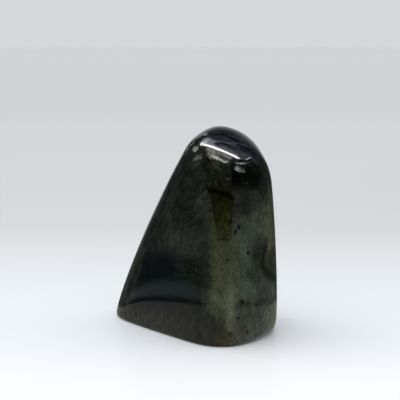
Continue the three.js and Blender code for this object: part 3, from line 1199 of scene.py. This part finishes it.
# %% Wedge
wedge = pillar((9.2, 5.9), (13.8, 15.4), 43.2, 66, side=0.6, end=2.2, wander=1.0)
olive = m.ramp(m.sum("DIVIDE", m.sum("SUBTRACT", layer_z, 38.0), 30.0), [
    (0.0, srgb(49, 52, 34)), (0.22, srgb(47, 50, 25)), (0.42, srgb(33, 34, 9)),
    (0.62, srgb(22, 23, 3)), (0.74, srgb(5, 5, 1)), (0.84, srgb(22, 22, 6)),
    (0.92, srgb(13, 14, 5)), (1.0, srgb(9, 11, 6))])
inner_glow = zone((12.4, -35.5, 55.0), (2.4, 5, 5.0), 0.9, 1.0)
olive = paint(olive, BRIGHT_OLIVE, inner_glow, share=0.6)
left_veil = zone((8.0, -35.0, 53.0), (1.6, 5, 8.0), 0.7, 1.0)
olive = paint(olive, srgb(28, 31, 19), left_veil, share=0.5)
UPRIGHT = (0.03, 0, 1)
olive = paint(olive, srgb(20, 17, 4), streaks(UPRIGHT, 12.0, 1.3, 0.42, 0.62), share=0.6)
olive = paint(olive, srgb(10, 10, 2), streaks(UPRIGHT, 8.0, 0.5, 0.42, 0.6), share=0.7)
olive = paint(olive, srgb(60, 56, 16), streaks(UPRIGHT, 9.0, 0.6, 0.55, 0.68),
              m.step(layer_z, 58.0, 50.0), share=0.5)
colour = paint(colour, olive, wedge, front)
wedge_edge = seam((15.4, -35.3, 59.5), (14.4, -37.3, 43.2), 0.35)
colour = paint(colour, srgb(18, 18, 9), wedge_edge, share=0.65)
count("wedge")

# %% [markdown]
# ## Under the rim
#
# Just below the chipped rim the stone is almost black, with a green band beside the column and a
# few paler spots. All of it lies on the steep front, so one mask keeps it off the top face.

# %% Dark band under the rim
under_rim = pillar((3.5, 6.0), (29.0, 28.0), 64.0, 90.0, side=3.0, end=2.5, wander=2.0, grain=6.0)
steep = m.step(y_mm, -22.0, -27.5)
rim_tint = m.ramp(tall_clouds(0.6, 1.8, detail=6.0, roughness=0.55), [
    (0.36, SOOT), (0.5, srgb(14, 16, 11)), (0.66, srgb(34, 37, 29))])
colour = paint(colour, rim_tint, under_rim, steep, share=0.9)
colour = paint_zones(colour, [
    ((16.9, -33, 68.0), (2.8, 6, 4.2), 0.6, 1.0, 0.9, (1, 1, 1)),
    ((12.6, -33, 67.6), (1.2, 6, 1.6), 0.6, 1.0, 0.8, (4, 5, 3)),
    ((22.8, -31, 67.6), (5.0, 8, 4.2), 0.5, 0.5, 0.92, (4, 5, 3)),
], steep)
green_band = pillar((4.8, 5.0), (7.6, 7.8), 61.0, 75.0, side=1.0, end=2.0, wander=1.0, grain=1.5)
colour = paint(colour, LEAF_GREEN, m.overlap(green_band, specks(1.6, 5.0, 0.42, 0.6)), front)
colour = paint_zones(colour, [
    ((8.8, -31.5, 73.3), (1.6, 5, 1.8), 0.5, 0.5, 0.8, (44, 47, 38)),
    ((10.2, -32.3, 71.0), (0.8, 5, 1.0), 0.5, 0.5, 0.8, (40, 43, 34)),
    ((13.2, -33.3, 67.4), (0.5, 5, 0.6), 0.5, 0.5, 0.8, (52, 54, 44)),
    ((11.0, -33.0, 69.0), (2.4, 5, 2.0), 0.5, 0.5, 0.8, (24, 27, 19)),
    ((14.4, -34.0, 69.0), (0.3, 5, 3.0), 0.5, 0.5, 0.8, (28, 31, 24)),
], steep)
count("dark band under the rim")

# %% [markdown]
# ## Cracks
#
# A healed crack crosses the top of the wedge, widest in the middle, and finer ones run over the
# column and the left face.

# %% Cracks
CRACK = [((5.2, -32.0, 64.6), 0.6), ((6.1, -32.7, 62.8), 0.8), ((8.3, -33.6, 62.8), 0.7),
         ((11.0, -34.4, 61.8), 1.0), ((15.2, -35.3, 59.8), 0.0)]
for (start, half_width), (end, _) in zip(CRACK, CRACK[1:]):
    colour = paint(colour, srgb(3, 3, 0), seam(start, end, half_width, 0.85), share=0.97)
for start, end, half_width, tint in [
    ((9.5, -36.8, 43.4), (13.6, -37.4, 43.4), 0.35, (12, 13, 3)),
    ((9.9, -36.7, 45.2), (13.4, -37.2, 45.1), 0.25, (18, 19, 5)),
    ((7.4, -34.4, 56.5), (9.0, -35.8, 50.0), 0.4, (8, 9, 3)),
    ((6.2, -33.2, 60.5), (7.4, -34.4, 56.5), 0.35, (12, 14, 6)),
    ((-5.3, -20.8, 57.8), (-0.8, -26.8, 60.1), 0.6, (13, 15, 10)),
    ((-0.8, -26.8, 60.1), (3.2, -30.9, 62.4), 0.6, (10, 12, 8)),
    ((3.2, -30.9, 62.4), (5.6, -32.2, 64.0), 0.6, (8, 10, 6)),
    ((-6.0, -20.0, 61.5), (3.0, -30.0, 66.0), 0.4, (14, 16, 11)),
    ((-14.0, -8.0, 60.0), (-4.0, -22.0, 66.0), 0.5, (20, 22, 17)),
]:
    colour = paint(colour, srgb(*tint), seam(start, end, half_width, 0.9, 1.0), share=0.75)
count("cracks")

# %% [markdown]
# ## Stained foot
#
# At the foot of the column iron has stained the stone brown, and pale lines run along the cut. To
# its right the foot is paler.

# %% Stained foot
stain = zone((12.6, -37.5, 3.0), (5.0, 8, 3.2), 0.4, 1.0)
colour = paint(colour, mottled(1.6, RUST, BROWN), stain, share=0.9)
streaked = zone((10.8, -37.5, 8.5), (2.6, 6, 4.5), 0.4)
colour = paint(colour, srgb(24, 25, 14), streaked, streaks((0.15, 0, 1), 6.0, 0.6), share=0.7)
right_foot = zone((22.5, -32, 2.5), (8.0, 9, 5.5), 0.7, 1.0)
colour = paint(colour, srgb(68, 71, 60), right_foot, m.step(mist_clouds, 0.35, 0.6, 0.35, 0.9))
lined = zone((12.6, -37, 2.2), (3.8, 6, 1.5), 0.5, 0.25)
colour = paint(colour, srgb(120, 112, 88), lined, streaks((1, 0, 0), 5.0, 0.4, 0.52, 0.64),
               share=0.4)
count("stained foot")

# %% [markdown]
# ## Dark grains
#
# Black grains of another mineral sit mostly in the cloudy side. The ones that catch the eye are
# placed one by one, seen from the front, and the scattered group fills in the rest.

# %% Dark grains
BLACK_GRAINS = [  # across, height and size
    (17.7, 48.4, 0.6), (16.2, 46.0, 0.6), (16.5, 47.2, 0.35), (14.6, 50.3, 0.5), (6.6, 55.0, 0.5),
    (17.3, 56.8, 0.4), (21.4, 38.0, 0.5), (13.2, 35.2, 0.45), (19.1, 18.3, 0.7), (25.0, 16.7, 0.45),
    (25.1, 4.6, 0.5), (21.3, 5.9, 0.6), (27.0, 5.6, 0.4), (14.3, 5.4, 0.5), (17.5, 11.7, 0.5),
    (24.0, 37.0, 0.3)]
GRAIN_Y = -34.0
nudged = drifted(m, place, wander=0.3, grain=0.8)
for across_mm, height_mm, size in BLACK_GRAINS:
    away = m.vector("SUBTRACT", nudged, (across_mm, GRAIN_Y, height_mm))
    away = m.vector("MULTIPLY", away, (0.8 / size, 0.1, 0.65 / size))
    dot = m.step(m.vector("LENGTH", away, output=1), 1.4, 0.6)
    colour = paint(colour, srgb(9, 9, 4), dot, share=0.9)
grain_tint = m.mix(mist, srgb(20, 22, 17), srgb(22, 24, 16))
colour = paint(colour, grain_tint, grains(2.6, 0.32, 0.4), share=0.7)
colour = paint(colour, srgb(74, 78, 70), grains(4.2, 0.22, 0.5), share=0.6)
count("dark grains")

# %% [markdown]
# ## The top face
#
# The top face looks along the lamellae, so it shows the dull blue schiller best: violet-grey bands
# with black streaks between them. A real schiller changes with the view, but a tint that stays put
# looks the same from every side.

# %% Top face
above_rim = m.step(m.sum("ADD", z_mm, m.sum("MULTIPLY", x_mm, 0.4)), 82.5, 83.6)
left_of_shoulder = m.step(m.sum("ADD", x_mm, m.sum("MULTIPLY", y_mm, 0.3)), 21.5, 17.5)
# Painted sheen: the violet-grey bands and the pale band stand for the schiller.
painted_schiller = m.ramp(m.noise(place, 4.0, detail=4.0), [
    (0.35, srgb(28, 33, 41)), (0.62, srgb(47, 52, 60))])
painted_schiller = paint(painted_schiller, srgb(9, 12, 15), streaks((0.84, -0.39, -0.32), 11.0, 1.8, 0.47, 0.6))
PALE_SHEEN_BAND = [(5.2, -21.5, 84.2), (9.5, -23.0, 83.2), (14.4, -21.9, 82.5), (18.6, -19.0, 82.2)]
painted_schiller = paint_line(painted_schiller, srgb(70, 71, 76), PALE_SHEEN_BAND, 0.9, 0.9, 1.0, share=0.8)
for start, end, half_width in [
    ((7.3, -15.0, 86.4), (11.4, -12.7, 86.8), 1.2),
    ((11.4, -12.7, 86.8), (17.4, -16.4, 83.7), 1.9),
    ((18.1, -19.9, 82.0), (20.9, -21.6, 80.1), 0.9),
    ((20.9, -21.6, 80.1), (23.6, -22.5, 78.2), 1.3),
]:
    painted_schiller = paint(painted_schiller, srgb(4, 7, 9), seam(start, end, half_width, 0.9, 1.0), share=0.93)
colour = paint(colour, painted_schiller, above_rim, left_of_shoulder, share=0.95)
count("top face")

# %% [markdown]
# The left end of the top face is frosted by tiny pits that the polish missed, which leave it matt.
# Its pale tint is partly the frost itself and partly painted glare of the overhead light. The frost
# thins out in a tail along the rim, a painted highlight that thickens the bright line there, so
# each seam of it has its own width and strength. The white spot at its left end is a painted
# highlight.

# %% Frost and painted glare
frost_grain = specks(0.8, 4.0, 0.3, 0.5)
frost_and_glare = m.overlap(seam((3.5, -23.9, 82.3), (5.2, -22.6, 83.4), 1.25, 0.35), frost_grain)
# Partly the pale of the frost, partly painted glare of the overhead light.
frost_and_glare_tint = m.mix(specks(0.7, 3.0, 0.4, 0.6), srgb(70, 72, 74), srgb(148, 148, 152))
# Painted highlight: a tail of glare that thickens the bright line along the rim.
for start, end, half_width, softness, share, tint in [
    ((5.2, -20.9, 84.2), (7.0, -23.8, 82.9), 1.5, 0.7, 0.9, (118, 118, 124)),
    ((4.2, -23.9, 82.7), (6.8, -25.7, 81.7), 0.8, 0.6, 0.9, (112, 112, 116)),
    ((6.8, -25.7, 81.7), (9.2, -28.3, 79.7), 0.9, 0.6, 0.85, (112, 112, 116)),
    ((9.2, -28.3, 79.7), (13.0, -29.7, 78.1), 0.8, 0.6, 0.6, (112, 112, 116)),
    ((13.0, -29.7, 78.1), (17.2, -30.1, 76.8), 0.45, 0.6, 0.5, (112, 112, 116)),
]:
    glare_tail = seam(start, end, half_width, softness)
    colour = paint(colour, srgb(*tint), glare_tail, frost_grain, share=share)
colour = paint(colour, frost_and_glare_tint, frost_and_glare)
# Painted highlight: the white spot at the left end of the frost.
colour = paint(colour, srgb(190, 190, 190), zone((3.0, -24.3, 81.8), (0.6, 2, 0.6), 0.4, 0.25))
count("frost_and_glare")

# %% [markdown]
# ## Worn rim and painted sheen
#
# The rim between the top face and the front has lost some of its gloss. The soft pale band below
# the bright line, where the overhead light spreads, is painted highlight, and so is the paler line
# at its right end. The left edge is rubbed pale in places.

# %% Worn rim and painted sheen
worn_rim_and_sheen = seam((6.0, -27.6, 79.6), (9.6, -29.9, 77.7), 1.1, 0.7)
# Painted highlight: the soft spread of the overhead light below the bright line.
colour = paint(colour, mottled(1.2, srgb(58, 58, 54), srgb(122, 122, 118)), worn_rim_and_sheen, share=0.8)
# Painted highlight: a paler line at the rim's right end.
rim_end_highlight = seam((9.6, -29.9, 77.7), (14.4, -31.1, 76.1), 0.7, 0.8)
colour = paint(colour, srgb(98, 98, 93), rim_end_highlight, share=0.85)
RUBBED_EDGE = [(-7.2, -7.0, 74.0), (-5.8, -9.5, 76.4), (-4.4, -12.0, 78.5), (-2.9, -15.0, 80.1),
               (-0.6, -18.0, 82.8), (1.4, -16.6, 84.9), (2.8, -13.5, 86.2)]
rubbed = specks(1.1, 5.0, 0.46, 0.6)
colour = paint_line(colour, srgb(132, 134, 130), RUBBED_EDGE, 0.9, 0.9, 0.5, rubbed, share=0.8)
colour = paint_zones(colour, [
    ((4.4, -13.8, 86.6), (0.9, 3, 0.7), 0.5, 0.25, 0.8, (150, 150, 146)),
    ((0.3, -22.6, 80.2), (0.9, 2.5, 0.9), 0.5, 0.25, 0.8, (140, 142, 136)),
])
count("worn rim")

# %% [markdown]
# ## Fresh breaks
#
# The floor of each chip is paler than the skin, because it is broken and not polished. The relief
# has marked the broken points, so this mask fits the shape exactly. The chip on the right is a
# smooth dark scar with one bright patch.

# %% Fresh breaks
broken_mask = m.add("ShaderNodeAttribute", attribute_name="chipped").outputs["Fac"]
break_tint = m.mix(specks(0.9, 4.0, 0.35, 0.62), srgb(62, 64, 58), FRESH_BREAK)
bright_patch = zone((16.6, -32.7, 72.0), (1.7, 3, 1.1), 0.6, 0.25)
scar_tint = m.mix(bright_patch, srgb(16, 18, 14), srgb(92, 95, 90))
upper_lip = seam((15.6, -31.8, 74.5), (19.8, -31.2, 74.2), 0.5, 0.8, 0.25)
scar_tint = paint(scar_tint, srgb(42, 44, 42), upper_lip, share=0.8)
break_tint = paint_zones(break_tint, [
    ((1.4, -25.6, 76.2), (2.6, 4, 1.7), 0.4, 0.5, 0.65, (44, 46, 41))])
break_tint = paint(break_tint, scar_tint, m.step(x_mm, 14.2, 15.4))
count("fresh breaks")

# %% [markdown]
# The long chip under the rim is a dark ledge with a bright line along its lower edge, and crumbs
# of broken skin lie at its left end. The black line along the rib between the lowest chips is
# painted shadow under the step there. Of three short lines to the right of the chips, the upper
# two are a painted highlight along a ridge.

# %% Ledge, crumbs and rib
ledge_glint = m.sum("MAXIMUM", seam((6.0, -28.9, 77.7), (8.6, -30.2, 76.3), 1.3, 0.5),
                    seam((8.6, -30.2, 76.2), (13.6, -31.7, 74.8), 0.45, 0.7, 0.25))
ledge = m.overlap(m.step(x_mm, 4.5, 5.5), m.step(x_mm, 15.2, 14.2),
                m.sum("SUBTRACT", 1.0, ledge_glint))
break_tint = paint(break_tint, srgb(24, 26, 19), ledge)
break_tint = paint_zones(break_tint, [
    ((7.6, -29.9, 76.6), (0.9, 3, 0.7), 0.4, 0.5, 0.6, (96, 84, 52))])
colour = paint(colour, break_tint, broken_mask)
crumbs = zone((7.0, -29.3, 77.4), (1.7, 3, 1.5), 0.5, 0.5, 1.5)
colour = paint(colour, srgb(122, 120, 106), crumbs, specks(0.9, 4.0, 0.42, 0.55), share=0.85)
# Painted shadow: a black line along the rib, under the step over the lower chip.
rib = [(x, y, z + LAYER_DIP * (y - RIDGE_Y)) for x, y, z in SPLIT_IN_FRAME]
colour = paint_line(colour, srgb(2, 2, 1), rib, 0.36, 0.6, 0.25)
# The upper two lines are a painted highlight along a ridge; the third is a faint pale line.
for start, end, tint in [
    ((17.6, -30.8, 75.8), (20.6, -29.9, 75.3), (60, 61, 60)),
    ((20.6, -29.9, 75.3), (22.7, -27.2, 76.4), (146, 150, 149)),
    ((22.6, -30.0, 73.1), (29.0, -21.0, 72.6), (40, 42, 38)),
]:
    colour = paint(colour, srgb(*tint), seam(start, end, 0.28, 0.8, 0.25), share=0.8)
count("ledge, crumbs and rib")

# %% [markdown]
# ## Polish
#
# The last step on the wheel leaves a gloss that is not quite even, and the chips stay matt. A
# fine grain in the colour keeps the large zones from looking painted. The pits are too small to
# model, so they are bump.

# %% Polish
MATT_ROUGHNESS = 0.42
RIM_ROUGHNESS = 0.05
fine = m.step(m.noise(place, 0.7, detail=5.0, roughness=0.75), 0.25, 0.75, 0.55, 1.5)
coarse = m.step(m.noise(nudged_wide, 2.6, detail=4.0), 0.25, 0.75, 0.8, 1.22)
m.feed(polish.inputs["Base Color"], m.scaled(colour, m.sum("MULTIPLY", fine, coarse)))
matt = m.sum("MAXIMUM", broken_mask, frost_and_glare)
gloss = m.step(m.noise(place, 9.0, detail=4.0), 0.35, 0.7, 0.045, 0.09)
roughness = m.sum("ADD", gloss, m.sum("MULTIPLY", matt, MATT_ROUGHNESS))
roughness = m.sum("ADD", roughness, m.sum("MULTIPLY", worn_rim_and_sheen, RIM_ROUGHNESS))
m.feed(polish.inputs["Roughness"], roughness)
pits = m.sum("MULTIPLY", m.noise(place, 0.45, detail=3.0), matt)
bump = m.add("ShaderNodeBump", {"Height": pits, "Distance": 0.0002, "Strength": 0.6})
m.feed(polish.inputs["Normal"], bump.outputs[0])
count("polish")

# %% [markdown]
# ## Finish
#
# The Standard view keeps the tones as they were set, where a film-like view would wash out the
# blacks.

# %% Colour management
bpy.context.scene.view_settings.view_transform = "Standard"
print("view:", bpy.context.scene.view_settings.view_transform)
